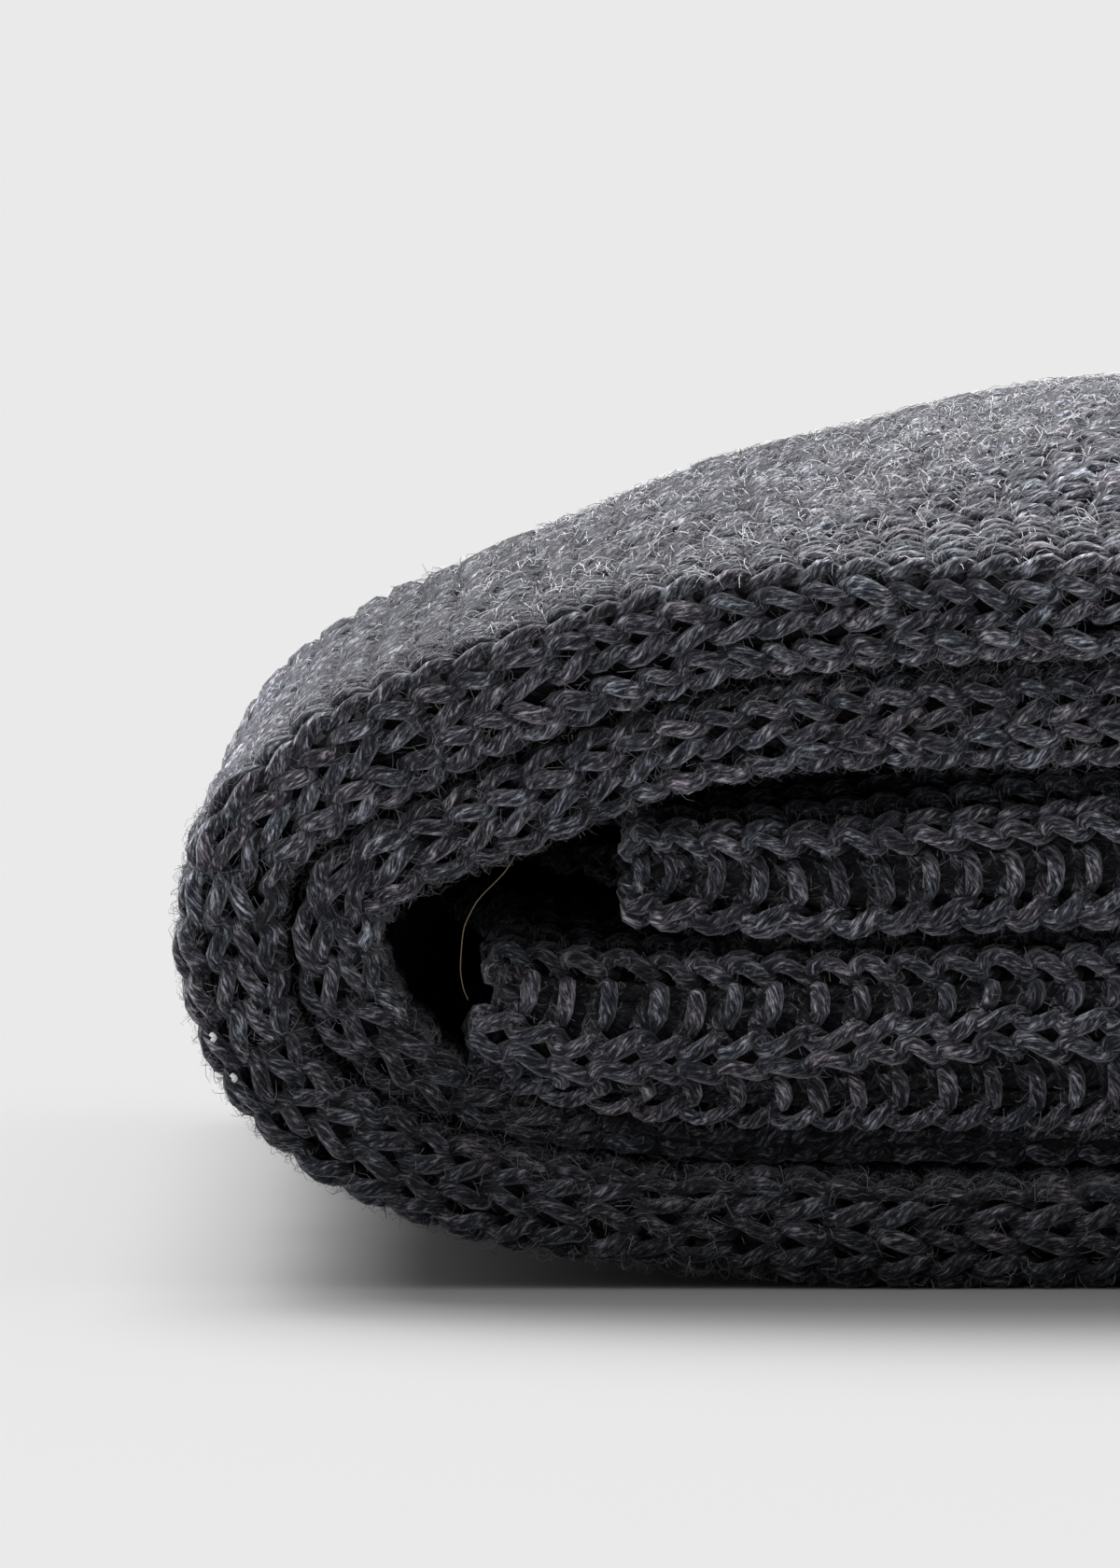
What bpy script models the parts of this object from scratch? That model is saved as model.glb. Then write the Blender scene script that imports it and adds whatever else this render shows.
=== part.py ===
"""A pair of chunky wool crew socks, laid on each other, folded in three and lying on a flat surface.

Both socks are flattened tubes of stocking stitch with a cuff of 1x1 rib. The folded pair is a spiral
seen from the side: each sock runs from its cuff, in the middle of the stack, to the right, round the
right fold, back along the bottom, up round the left bend and along the top to its toe. The outer sock
keeps to the outside of the inner one all the way. The underside is flat at z = 0.

Tables are in millimetres and the model is in metres, +Z up. The origin is under the middle of the pair.
"""

import math

import bmesh
import bpy
import numpy as np

MM = 0.001

# The folded pair
HALF_DEPTH = 45.0  # half of the width of a sock laid flat, across the folds
CROWN_POWER = 2.4  # how fast the stack gains height from its side edges to its middle

# The 1x1 rib of the cuffs
RIB_COUNT = 46  # knit columns round one cuff
RIB_RELIEF = 0.8  # how far a knit column stands over the purl column beside it
RIB_LENGTH = 66.0  # length of the ribbed cuff along the sock
RIB_PROFILE = ((-0.34, 1.0), (-0.12, 0.0), (0.12, 0.0), (0.34, 1.0))  # (share of a rib, depth)

# The open mouth of a cuff: distances along the sock of the pocket's rings, from its floor to the mouth
POCKET_RINGS = (25.0, 12.0, 0.7, 0.0)
LIP_ROUND = 0.7  # how far the lip is rounded off
OUTER_WALL = 1.9
INNER_WALL = 2.5

# The toe
TOE_LENGTH = 42.0
TOE_POWER = 2.6  # 2 makes an ellipse, more a squarer toe
TOE_RINGS = (0.8, 0.6, 0.4, 0.24, 0.12, 0.05, 0.02)  # shares of the toe's length left to the tip
TOE_THINNING = 0.35  # share of its thickness that the tube loses towards the tip
LEAST_FLAT = 0.5  # the flat part that is left at the tip

# The rings of the mesh
FLAT_POINTS = 8  # on each face of the flattened tube
EDGE_POINTS = 6  # round each folded edge
MOST_TURN = math.radians(13)
MOST_STEP = 13.0
RIB_STEP = 11.0
RIB_FADE = 4.0  # from the last ribbed ring to the first plain one
FINE_STEPS = 800  # for measuring how far the sock turns
NUDGE = 0.05  # for measuring its direction

# Which way the ribs are turned round each cuff, in shares of a rib from the near edge
OUTER_RIB_PHASE = 0.5
INNER_RIB_PHASE = 0.75

# Charcoal wool
OUTER_COLOUR = (0.045, 0.046, 0.052)
INNER_COLOUR = (0.042, 0.043, 0.048)
WOOL_ROUGHNESS = 0.95

# How much higher the stack is in the middle of its depth than at its side edges
CROWN = (
    # x, share of the height
    (-73.0, 0.00),
    (-65.0, 0.01),
    (-57.0, 0.05),
    (-45.0, 0.13),
    (-34.0, 0.20),
    (-10.0, 0.25),
    (20.0, 0.22),
    (48.0, 0.12),
    (73.0, 0.04),
)

# A row for each section along the middle of the flattened tube, from the cuff to the toe:
# its place at the side edge, half of its thickness there, half of its width,
# and how much the middle of the width is lifted and thickened.
SECTION_COLUMNS = ("x", "z", "half", "reach", "lift", "swell")

OUTER_SECTIONS = (
    # cuff and leg, to the right
    (-54.6, 16.95, 2.20, 42.6, 0.3, 0.0),
    (-48.0, 16.5, 2.45, 43.2, 0.4, 0.0),
    (-34.0, 17.1, 2.70, 43.6, 0.6, 0.0),
    (-8.0, 17.3, 2.75, 43.8, 0.6, 0.0),
    (20.0, 16.2, 2.40, 44.2, 0.1, 0.0),
    (45.0, 15.5, 2.25, 44.6, 0.0, 0.0),
    (62.5, 15.3, 2.20, 44.8, 0.0, 0.0),
    # right fold
    (68.6, 13.4, 2.20, 44.8, 0.0, 0.0),
    (70.7, 8.75, 2.20, 44.8, 0.0, 0.0),
    (68.6, 4.1, 2.20, 44.8, 0.0, 0.0),
    # bottom, to the left
    (62.5, 2.2, 2.20, 44.8, 0.0, 0.0),
    (20.0, 2.2, 2.20, 44.8, 0.0, 0.0),
    (-38.0, 2.2, 2.20, 44.8, 0.0, 0.0),
    (-47.0, 2.45, 2.15, 44.8, 0.0, 0.0),
    (-53.9, 2.90, 2.05, 44.8, 0.0, 0.0),
    # left bend
    (-59.9, 3.9, 2.05, 44.8, 0.0, 0.0),
    (-65.8, 6.1, 2.05, 45.0, 0.0, 0.0),
    (-68.4, 8.2, 2.10, 45.0, 0.0, 0.0),
    (-70.2, 11.3, 2.15, 45.0, 0.0, 0.0),
    (-70.8, 14.6, 2.20, 45.0, 0.0, 0.0),
    (-70.2, 18.0, 2.30, 45.0, 0.0, 0.0),
    (-68.2, 20.3, 2.40, 45.0, 0.0, 0.0),
    (-64.9, 22.4, 2.60, 45.0, 0.0, 0.0),
    # top, to the right and the toe
    (-56.3, 25.8, 2.45, 45.0, 0.0, 0.0),
    (-48.2, 27.55, 2.30, 45.0, 0.0, 0.0),
    (-34.0, 28.05, 2.20, 45.0, 0.0, 0.0),
    (-8.0, 28.1, 2.20, 45.0, 0.0, 0.0),
    (20.0, 25.9, 2.15, 45.0, 0.0, 0.0),
    (42.0, 24.1, 2.00, 45.0, 0.0, 0.0),
    (58.5, 22.9, 1.70, 45.0, 0.0, 0.0),
)

INNER_SECTIONS = (
    # cuff and leg, to the right
    (-60.7, 11.25, 2.80, 43.2, 1.0, -0.4),
    (-57.0, 10.35, 3.25, 43.8, 1.4, -0.8),
    (-50.0, 9.8, 3.65, 44.2, 1.65, -1.05),
    (-34.0, 9.85, 3.80, 44.4, 1.65, -1.05),
    (-8.0, 10.25, 3.50, 44.4, 1.25, -0.7),
    (20.0, 11.0, 2.20, 44.0, 0.1, 0.0),
    (45.0, 11.0, 1.90, 44.0, 0.0, 0.0),
    (62.0, 11.0, 1.75, 44.0, 0.0, 0.0),
    # right fold
    (65.35, 10.4, 1.65, 44.0, 0.0, 0.0),
    (66.0, 8.85, 1.65, 44.0, 0.0, 0.0),
    (65.35, 7.3, 1.65, 44.0, 0.0, 0.0),
    # bottom, to the left, pressed thin at its edges between its own cuff and the outer sock
    (62.0, 6.65, 1.75, 43.8, 0.0, 0.0),
    (20.0, 6.7, 1.75, 43.0, 0.0, 0.0),
    (-8.0, 5.55, 0.80, 41.8, 1.0, 1.0),
    (-34.0, 5.2, 0.45, 41.4, 1.35, 1.35),
    (-48.0, 5.35, 0.45, 41.4, 1.3, 1.25),
    (-53.0, 5.7, 0.50, 41.8, 1.1, 1.0),
    # left bend
    (-57.2, 6.35, 0.70, 42.4, 0.8, 0.40),
    (-60.9, 7.6, 1.00, 43.2, 0.3, 0.0),
    (-63.7, 9.55, 1.60, 44.0, 0.0, 0.0),
    (-65.8, 12.1, 1.85, 44.4, 0.0, 0.0),
    (-66.4, 14.4, 1.80, 44.6, 0.0, 0.0),
    (-65.9, 16.3, 1.75, 44.6, 0.0, 0.0),
    (-64.2, 17.6, 1.75, 44.6, 0.0, 0.0),
    # top, to the right and the toe
    (-58.5, 20.0, 1.90, 44.6, 0.0, 0.0),
    (-53.0, 22.05, 1.80, 44.6, 0.0, 0.0),
    (-46.0, 23.2, 1.90, 44.6, -0.3, 0.0),
    (-34.0, 23.35, 2.05, 44.6, -0.3, 0.0),
    (-8.0, 23.35, 2.05, 44.6, -0.3, 0.0),
    (20.0, 21.3, 2.00, 44.6, 0.0, 0.0),
    (45.0, 20.0, 1.85, 44.6, 0.0, 0.0),
    (66.5, 19.2, 1.60, 44.6, 0.0, 0.0),
)


def smooth(knots, values, at):
    """Values at the places given, on a smooth curve through the rows that never overshoots them."""
    knots = np.asarray(knots, float)
    values = np.asarray(values, float)
    gaps = np.diff(knots)
    slopes = np.diff(values) / gaps
    tangents = np.empty(len(knots))
    tangents[0] = slopes[0]
    tangents[-1] = slopes[-1]
    before, after = slopes[:-1], slopes[1:]
    same = before * after > 0
    mean = np.where(same, 2 * before * after / np.where(same, before + after, 1.0), 0.0)
    tangents[1:-1] = mean
    at = np.clip(np.asarray(at, float), knots[0], knots[-1])
    row = np.clip(np.searchsorted(knots, at, side="right") - 1, 0, len(gaps) - 1)
    share = (at - knots[row]) / gaps[row]
    low, high = values[row], values[row + 1]
    pull_low, pull_high = tangents[row] * gaps[row], tangents[row + 1] * gaps[row]
    return (
        low * (1 + 2 * share) * (1 - share) ** 2
        + pull_low * share * (1 - share) ** 2
        + high * share**2 * (3 - 2 * share)
        - pull_high * share**2 * (1 - share)
    )


def fullness(y):
    """0 at the side edges of the stack, 1 in the middle of its depth."""
    return np.clip(1 - np.abs(y / HALF_DEPTH) ** CROWN_POWER, 0, 1)


class Sock:
    """The outer surface of one flattened, folded sock, by distance along it and place round it."""

    def __init__(self, sections):
        self.rows = {name: np.array(column) for name, column in zip(SECTION_COLUMNS, zip(*sections))}
        steps = np.hypot(np.diff(self.rows["x"]), np.diff(self.rows["z"]))
        self.knots = np.concatenate([[0.0], np.cumsum(steps)])
        self.length = self.knots[-1]

    def column(self, name, s):
        return smooth(self.knots, self.rows[name], s)

    def direction(self, s):
        """The unit vector (x, z) along the sock."""
        dx = self.column("x", s + NUDGE) - self.column("x", s - NUDGE)
        dz = self.column("z", s + NUDGE) - self.column("z", s - NUDGE)
        size = math.hypot(dx, dz)
        return dx / size, dz / size

    def section(self, s):
        """Half thickness and half width, with the toe's taper."""
        half = float(self.column("half", s))
        reach = float(self.column("reach", s))
        left = min(self.length - s, TOE_LENGTH) / TOE_LENGTH
        half *= 1 - TOE_THINNING * (1 - left) ** 2
        reach *= (1 - (1 - left) ** TOE_POWER) ** (1 / TOE_POWER)
        return half, max(reach, half + LEAST_FLAT)

    def point(self, s, place, inset):
        """A point in metres. place is (y, out) on the section, both as signed shares of its round edge."""
        half, _ = self.section(s)
        y, out = place
        across = fullness(y)
        out = out * (half + self.column("swell", s) * across) / half
        out -= math.copysign(inset, out) if abs(out) > inset else 0.0
        tx, tz = self.direction(s)
        x = self.column("x", s) - tz * out
        z = self.column("z", s) + tx * out + self.column("lift", s) * across
        share = smooth(*zip(*CROWN), x)
        return x * MM, y * MM, z * (1 + share * across) * MM


def stadium(u, half, reach):
    """(y, out) at share u of the way round a flattened tube, from its near edge over its outer face."""
    flat = 2 * (reach - half)
    bend = math.pi * half
    walk = (u % 1.0) * 2 * (flat + bend)
    if walk < bend / 2:
        angle = walk / half
        return -flat / 2 - half * math.cos(angle), half * math.sin(angle)
    walk -= bend / 2
    if walk < flat:
        return -flat / 2 + walk, half
    walk -= flat
    if walk < bend:
        angle = walk / half
        return flat / 2 + half * math.sin(angle), half * math.cos(angle)
    walk -= bend
    if walk < flat:
        return flat / 2 - walk, -half
    angle = (walk - flat) / half
    return -flat / 2 - half * math.sin(angle), -half * math.cos(angle)


def plain_places(half, reach):
    """Shares of the way round for a plain ring: close together at the folded edges."""
    flat = 2 * (reach - half)
    bend = math.pi * half
    around = 2 * (flat + bend)
    edge = [bend * (k / EDGE_POINTS - 0.5) for k in range(EDGE_POINTS)]
    face = [bend / 2 + flat * k / FLAT_POINTS for k in range(FLAT_POINTS)]
    walk = edge + face
    walk += [step + around / 2 for step in walk]
    return sorted((step / around) % 1.0 for step in walk)


def rib_places(phase):
    """(share of the way round, depth under the rib's crest) for the points of a ribbed ring."""
    found = []
    for rib in range(RIB_COUNT):
        for offset, depth in RIB_PROFILE:
            found.append((((rib + phase + offset) / RIB_COUNT) % 1.0, depth))
    return sorted(found)


def ring(mesh, sock, s, places, shrink=0.0, wall=0.0):
    """A closed loop of vertices round the sock, as (share of the way round, vertex) pairs."""
    half, reach = sock.section(s)
    loop = []
    for u, depth in places:
        y, out = stadium(u, half, reach)
        if wall:
            y *= (reach - wall) / reach
            out *= (half - wall) / half
        sunk = shrink + depth * RIB_RELIEF
        edge = abs(out) / half
        y -= math.copysign(sunk * math.sqrt(max(0.0, 1 - edge * edge)), y)
        loop.append((u, mesh.verts.new(sock.point(s, (y, out), sunk * edge))))
    return loop


def bridge(mesh, first, second):
    """Faces between two loops, which may have different numbers of vertices."""
    i = j = 0
    while i < len(first) or j < len(second):
        next_first = first[i + 1][0] if i + 1 < len(first) else 1 + first[0][0]
        next_second = second[j + 1][0] if j + 1 < len(second) else 1 + second[0][0]
        a = first[i % len(first)][1]
        b = second[j % len(second)][1]
        a_next = first[(i + 1) % len(first)][1]
        b_next = second[(j + 1) % len(second)][1]
        if i < len(first) and j < len(second) and abs(next_first - next_second) < 1e-6:
            mesh.faces.new((a, a_next, b_next, b))
            i += 1
            j += 1
        elif j >= len(second) or (i < len(first) and next_first < next_second):
            mesh.faces.new((a, a_next, b))
            i += 1
        else:
            mesh.faces.new((a, b_next, b))
            j += 1


def stations(sock, start, end, most_step):
    """Distances along the sock, closer together where it bends."""
    fine = np.linspace(start, end, FINE_STEPS)
    heading = np.unwrap([math.atan2(*reversed(sock.direction(s))) for s in fine])
    turned = np.concatenate([[0.0], np.cumsum(np.abs(np.diff(heading)))])
    need = turned / MOST_TURN + (fine - start) / most_step
    count = max(1, math.ceil(need[-1]))
    return [float(np.interp(k * need[-1] / count, need, fine)) for k in range(count + 1)]


def plain_ring(mesh, sock, s, **options):
    half, reach = sock.section(s)
    return ring(mesh, sock, s, [(u, 0.0) for u in plain_places(half, reach)], **options)


def build_sock(name, sections, rib_phase, wall, colour, collection):
    """One sock as a closed solid: the ribbed cuff with its open mouth, the plain tube and the toe."""
    sock = Sock(sections)
    mesh = bmesh.new()
    ribs = rib_places(rib_phase)

    # The pocket inside the cuff, from its floor out to the mouth
    inner = [plain_ring(mesh, sock, s, wall=wall) for s in POCKET_RINGS]
    mesh.faces.new([vertex for _, vertex in inner[0]])
    for first, second in zip(inner, inner[1:]):
        bridge(mesh, first, second)

    # The ribbed outside of the cuff, rounded at the lip
    ribbed = [ring(mesh, sock, 0.0, ribs, shrink=LIP_ROUND)]
    ribbed += [ring(mesh, sock, s, ribs) for s in stations(sock, LIP_ROUND, RIB_LENGTH, RIB_STEP)]
    bridge(mesh, inner[-1], ribbed[0])
    for first, second in zip(ribbed, ribbed[1:]):
        bridge(mesh, first, second)

    # The plain tube and the toe
    places = stations(sock, RIB_LENGTH + RIB_FADE, sock.length - TOE_LENGTH, MOST_STEP)
    places += [sock.length - TOE_LENGTH * left for left in TOE_RINGS]
    tube = [plain_ring(mesh, sock, s) for s in places]
    bridge(mesh, ribbed[-1], tube[0])
    for first, second in zip(tube, tube[1:]):
        bridge(mesh, first, second)
    mesh.faces.new([vertex for _, vertex in tube[-1]])

    bmesh.ops.recalc_face_normals(mesh, faces=mesh.faces)
    if mesh.calc_volume(signed=True) < 0:
        bmesh.ops.reverse_faces(mesh, faces=mesh.faces)
    bmesh.ops.triangulate(mesh, faces=mesh.faces)
    data = bpy.data.meshes.new(name)
    mesh.to_mesh(data)
    mesh.free()
    data.shade_smooth()
    data.materials.append(wool(f"{name}_wool", colour))
    piece = bpy.data.objects.new(name, data)
    collection.objects.link(piece)
    return piece


def wool(name, colour):
    material = bpy.data.materials.new(name)
    material.use_nodes = True
    shader = material.node_tree.nodes["Principled BSDF"]
    shader.inputs["Base Color"].default_value = (*colour, 1.0)
    shader.inputs["Roughness"].default_value = WOOL_ROUGHNESS
    shader.inputs["Metallic"].default_value = 0.0
    return material


def main():
    for old in list(bpy.data.objects):
        bpy.data.objects.remove(old)
    pair = bpy.data.collections.new("folded_socks")
    bpy.context.scene.collection.children.link(pair)
    build_sock("outer_sock", OUTER_SECTIONS, OUTER_RIB_PHASE, OUTER_WALL, OUTER_COLOUR, pair)
    build_sock("inner_sock", INNER_SECTIONS, INNER_RIB_PHASE, INNER_WALL, INNER_COLOUR, pair)


main()
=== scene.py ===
"""Two chunky wool crew socks, laid on each other and folded in three, on a plain pale floor.

Each sock is a thin cloth tube on its solid's form. Where it shows it is covered with knitting: stocking
stitch on the leg and foot, 1x1 rib on the cuff, with whole loops of yarn in the close view. Short loose
fibres stand out of the side and the top. Lengths are in millimetres; Blender gets metres.
"""

import math

import bpy
import numpy as np
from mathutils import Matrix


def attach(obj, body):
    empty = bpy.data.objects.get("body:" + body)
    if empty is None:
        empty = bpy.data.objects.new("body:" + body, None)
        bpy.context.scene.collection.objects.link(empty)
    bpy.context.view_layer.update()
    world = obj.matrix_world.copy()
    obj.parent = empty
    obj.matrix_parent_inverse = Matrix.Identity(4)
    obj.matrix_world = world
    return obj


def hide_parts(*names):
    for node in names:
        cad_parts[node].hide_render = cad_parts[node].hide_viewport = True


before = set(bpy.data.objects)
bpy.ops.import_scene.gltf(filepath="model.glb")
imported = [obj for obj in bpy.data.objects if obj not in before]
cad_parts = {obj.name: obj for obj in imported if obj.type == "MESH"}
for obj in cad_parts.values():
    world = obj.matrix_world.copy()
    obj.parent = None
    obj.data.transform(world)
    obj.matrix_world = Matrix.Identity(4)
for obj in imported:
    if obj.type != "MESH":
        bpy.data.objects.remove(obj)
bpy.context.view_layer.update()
MM = 0.001
rng = np.random.default_rng(11)

# ---------------------------------------------------------------- sizes shared with the solids

HALF_DEPTH = 45.0
CROWN_POWER = 2.4
RIB_COUNT = 46
RIB_LENGTH = 66.0
TOE_LENGTH = 42.0
TOE_POWER = 2.6
TOE_THINNING = 0.35
LEAST_FLAT = 0.5
NUDGE = 0.05

CROWN = (
    # x, share of the height
    (-73.0, 0.00),
    (-65.0, 0.01),
    (-57.0, 0.05),
    (-45.0, 0.13),
    (-34.0, 0.20),
    (-10.0, 0.25),
    (20.0, 0.22),
    (48.0, 0.12),
    (73.0, 0.04),
)

# half and reach are half the thickness and the width; in the middle of the depth the sock is lifted and
# swells by that much more
SECTION_COLUMNS = ("x", "z", "half", "reach", "lift", "swell")

OUTER_SECTIONS = (
    # cuff and leg, to the right
    (-54.6, 16.95, 2.20, 42.6, 0.3, 0.0),
    (-48.0, 16.5, 2.45, 43.2, 0.4, 0.0),
    (-34.0, 17.1, 2.70, 43.6, 0.6, 0.0),
    (-8.0, 17.3, 2.75, 43.8, 0.6, 0.0),
    (20.0, 16.2, 2.40, 44.2, 0.1, 0.0),
    (45.0, 15.5, 2.25, 44.6, 0.0, 0.0),
    (62.5, 15.3, 2.20, 44.8, 0.0, 0.0),
    # right fold
    (68.6, 13.4, 2.20, 44.8, 0.0, 0.0),
    (70.7, 8.75, 2.20, 44.8, 0.0, 0.0),
    (68.6, 4.1, 2.20, 44.8, 0.0, 0.0),
    # bottom, to the left
    (62.5, 2.2, 2.20, 44.8, 0.0, 0.0),
    (20.0, 2.2, 2.20, 44.8, 0.0, 0.0),
    (-38.0, 2.2, 2.20, 44.8, 0.0, 0.0),
    (-47.0, 2.45, 2.15, 44.8, 0.0, 0.0),
    (-53.9, 2.90, 2.05, 44.8, 0.0, 0.0),
    # left bend
    (-59.9, 3.9, 2.05, 44.8, 0.0, 0.0),
    (-65.8, 6.1, 2.05, 45.0, 0.0, 0.0),
    (-68.4, 8.2, 2.10, 45.0, 0.0, 0.0),
    (-70.2, 11.3, 2.15, 45.0, 0.0, 0.0),
    (-70.8, 14.6, 2.20, 45.0, 0.0, 0.0),
    (-70.2, 18.0, 2.30, 45.0, 0.0, 0.0),
    (-68.2, 20.3, 2.40, 45.0, 0.0, 0.0),
    (-64.9, 22.4, 2.60, 45.0, 0.0, 0.0),
    # top, to the right and the toe
    (-56.3, 25.8, 2.45, 45.0, 0.0, 0.0),
    (-48.2, 27.55, 2.30, 45.0, 0.0, 0.0),
    (-34.0, 28.05, 2.20, 45.0, 0.0, 0.0),
    (-8.0, 28.1, 2.20, 45.0, 0.0, 0.0),
    (20.0, 25.9, 2.15, 45.0, 0.0, 0.0),
    (42.0, 24.1, 2.00, 45.0, 0.0, 0.0),
    (58.5, 22.9, 1.70, 45.0, 0.0, 0.0),
)

INNER_SECTIONS = (
    # cuff and leg, to the right
    (-60.7, 11.25, 2.80, 43.2, 1.0, -0.4),
    (-57.0, 10.35, 3.25, 43.8, 1.4, -0.8),
    (-50.0, 9.8, 3.65, 44.2, 1.65, -1.05),
    (-34.0, 9.85, 3.80, 44.4, 1.65, -1.05),
    (-8.0, 10.25, 3.50, 44.4, 1.25, -0.7),
    (20.0, 11.0, 2.20, 44.0, 0.1, 0.0),
    (45.0, 11.0, 1.90, 44.0, 0.0, 0.0),
    (62.0, 11.0, 1.75, 44.0, 0.0, 0.0),
    # right fold
    (65.35, 10.4, 1.65, 44.0, 0.0, 0.0),
    (66.0, 8.85, 1.65, 44.0, 0.0, 0.0),
    (65.35, 7.3, 1.65, 44.0, 0.0, 0.0),
    # bottom, to the left, pressed thin at its edges between its own cuff and the outer sock
    (62.0, 6.65, 1.75, 43.8, 0.0, 0.0),
    (20.0, 6.7, 1.75, 43.0, 0.0, 0.0),
    (-8.0, 5.55, 0.80, 41.8, 1.0, 1.0),
    (-34.0, 5.2, 0.45, 41.4, 1.35, 1.35),
    (-48.0, 5.35, 0.45, 41.4, 1.3, 1.25),
    (-53.0, 5.7, 0.50, 41.8, 1.1, 1.0),
    # left bend
    (-57.2, 6.35, 0.70, 42.4, 0.8, 0.40),
    (-60.9, 7.6, 1.00, 43.2, 0.3, 0.0),
    (-63.7, 9.55, 1.60, 44.0, 0.0, 0.0),
    (-65.8, 12.1, 1.85, 44.4, 0.0, 0.0),
    (-66.4, 14.4, 1.80, 44.6, 0.0, 0.0),
    (-65.9, 16.3, 1.75, 44.6, 0.0, 0.0),
    (-64.2, 17.6, 1.75, 44.6, 0.0, 0.0),
    # top, to the right and the toe
    (-58.5, 20.0, 1.90, 44.6, 0.0, 0.0),
    (-53.0, 22.05, 1.80, 44.6, 0.0, 0.0),
    (-46.0, 23.2, 1.90, 44.6, -0.3, 0.0),
    (-34.0, 23.35, 2.05, 44.6, -0.3, 0.0),
    (-8.0, 23.35, 2.05, 44.6, -0.3, 0.0),
    (20.0, 21.3, 2.00, 44.6, 0.0, 0.0),
    (45.0, 20.0, 1.85, 44.6, 0.0, 0.0),
    (66.5, 19.2, 1.60, 44.6, 0.0, 0.0),
)

# ---------------------------------------------------------------- the knitting

PLAIN_COUNT = 92  # stitches round a sock in stocking stitch
ROW_PITCH = (
    # s, distance between rows there
    (-20.0, 1.77),
    (200.0, 1.77),
    (222.0, 2.0),
    (262.0, 2.0),
    (286.0, 1.77),
    (480.0, 1.77),
)
YARN_WIDE = 0.375  # half of the yarn's width
YARN_THICK = 0.35  # half of its thickness
LEAN = 0.235  # how far a leg of a stitch leans, in stitch widths
LOOP_REACH = 0.69  # half of a loop's height, in rows
LOOP_DEPTH = 0.40  # legs in front of the middle of the cloth, heads behind
PURL_DROP = 0.75  # purl columns lie this much lower than the knit ones
PURL_FLAT = 0.6  # and their heads are this much flatter
PURL_LEAN = 0.28
EDGE_SQUARE = 4.5  # 2 would leave a flattened tube's side edges round

CLOTH_INSETS = (1.3, 1.7)  # how deep the cloth's two faces lie under the solid's surface
CLOTH_SHARES = (0.6, 0.85)  # and at most these shares of the half thickness

VIEW_X = -28.0  # what lies to the right of this is out of the close view

# How far the columns are turned round each sock, in stitches: (s, turn)
OUTER_TURNS = (
    (0.0, 1.0),
    (66.0, 1.0),
    (67.0, 0.0),
    (150.0, -0.17),
    (255.0, -0.17),
    (295.0, 0.2),
    (420.0, 0.2),
)
INNER_TURNS = ((0.0, 0.0), (240.0, 0.0), (284.0, 0.1), (300.0, 0.5), (420.0, 0.5))

# How far the column at the near edge strays further round: (s, turn)
OUTER_SWAY = ((0.0, 0.0), (420.0, 0.0))
INNER_SWAY = ((0.0, -0.45), (5.0, -0.45), (22.0, 0.35), (66.0, 0.35), (67.0, 0.0))
SWAY_REACH = 1.1

# How far the hidden inner face of each sock bulges in the middle of its depth: (s, bulge)
OUTER_BULGE = ((264.0, 0.0), (270.0, 0.5), (290.0, 0.5), (297.0, 0.0))
INNER_BULGE = ((252.0, 0.0), (260.0, 1.6), (268.0, 1.6), (273.0, 0.4), (278.0, 0.0))

# How the hidden middle of each cuff's end lies: further out, lower, share of its thickness lost, raised
OUTER_END = (4.4, 0.7, 0.35, 0.0)
INNER_END = (2.6, 0.0, 0.0, 1.3)
END_LENGTH = 5.0
HIDDEN_FROM = 13.0  # the hidden middle starts this far from the side edges
HIDDEN_FADE = 14.0
PROUD = 0.14  # the yarn stands this much out of the solid
LEAST_LIT = 0.16  # painted shade where the yarn dips behind other loops: the least share of its colour left there
FRONT_POWER = 1.4
# Painted shade on the yarn's upward faces on top, by x: (x, share)
TOP_SHADES = ((-72.0, 0.25), (-66.0, 0.85), (-57.0, 0.80), (-50.0, 0.45), (-42.0, 0.35), (-34.0, 0.0))
UNDER_SHADE = 0.60  # painted shade: the lowest plain stitches face the shaded floor and are painted this much darker
UNDER_HEIGHT = 17.0  # fading out up to this height

STRAY_ACROSS = 0.13  # how far the yarn wanders, in stitch widths
STRAY_ALONG = 0.17  # in rows
STRAY_OUT = 0.12
YARN_VARIES = 0.16  # share by which the yarn is thicker or thinner along its way
STITCH_VARIES = 0.05  # and from stitch to stitch
PATTERN_LENGTH = 900.0  # each stitch starts anywhere on this much of the yarn's pattern
DEEPEST = 1.35  # no yarn lies deeper than this
DEEPEST_SHARE = 0.62  # or this share of the half thickness
FULL_ROUND = 170.0  # a sock less than this far round has thinner yarn

# ---------------------------------------------------------------- where stitches are made, and how finely

CLOSE_DETAIL = (17, 6)  # points along a loop and sides of its yarn
TOP_DETAIL = (11, 4)
PLAIN_DETAIL = (9, 3)
LEG_SIZES = np.array([0.55, 1.1, 1.1, 0.55])  # at the points along a single leg
LEG_POINTS = len(LEG_SIZES)
LEG_SIDES = 3
LEG_SPAN = 0.38
CLOSE_STRAY = 1.25
TOP_STRAY = 1.9

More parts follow.
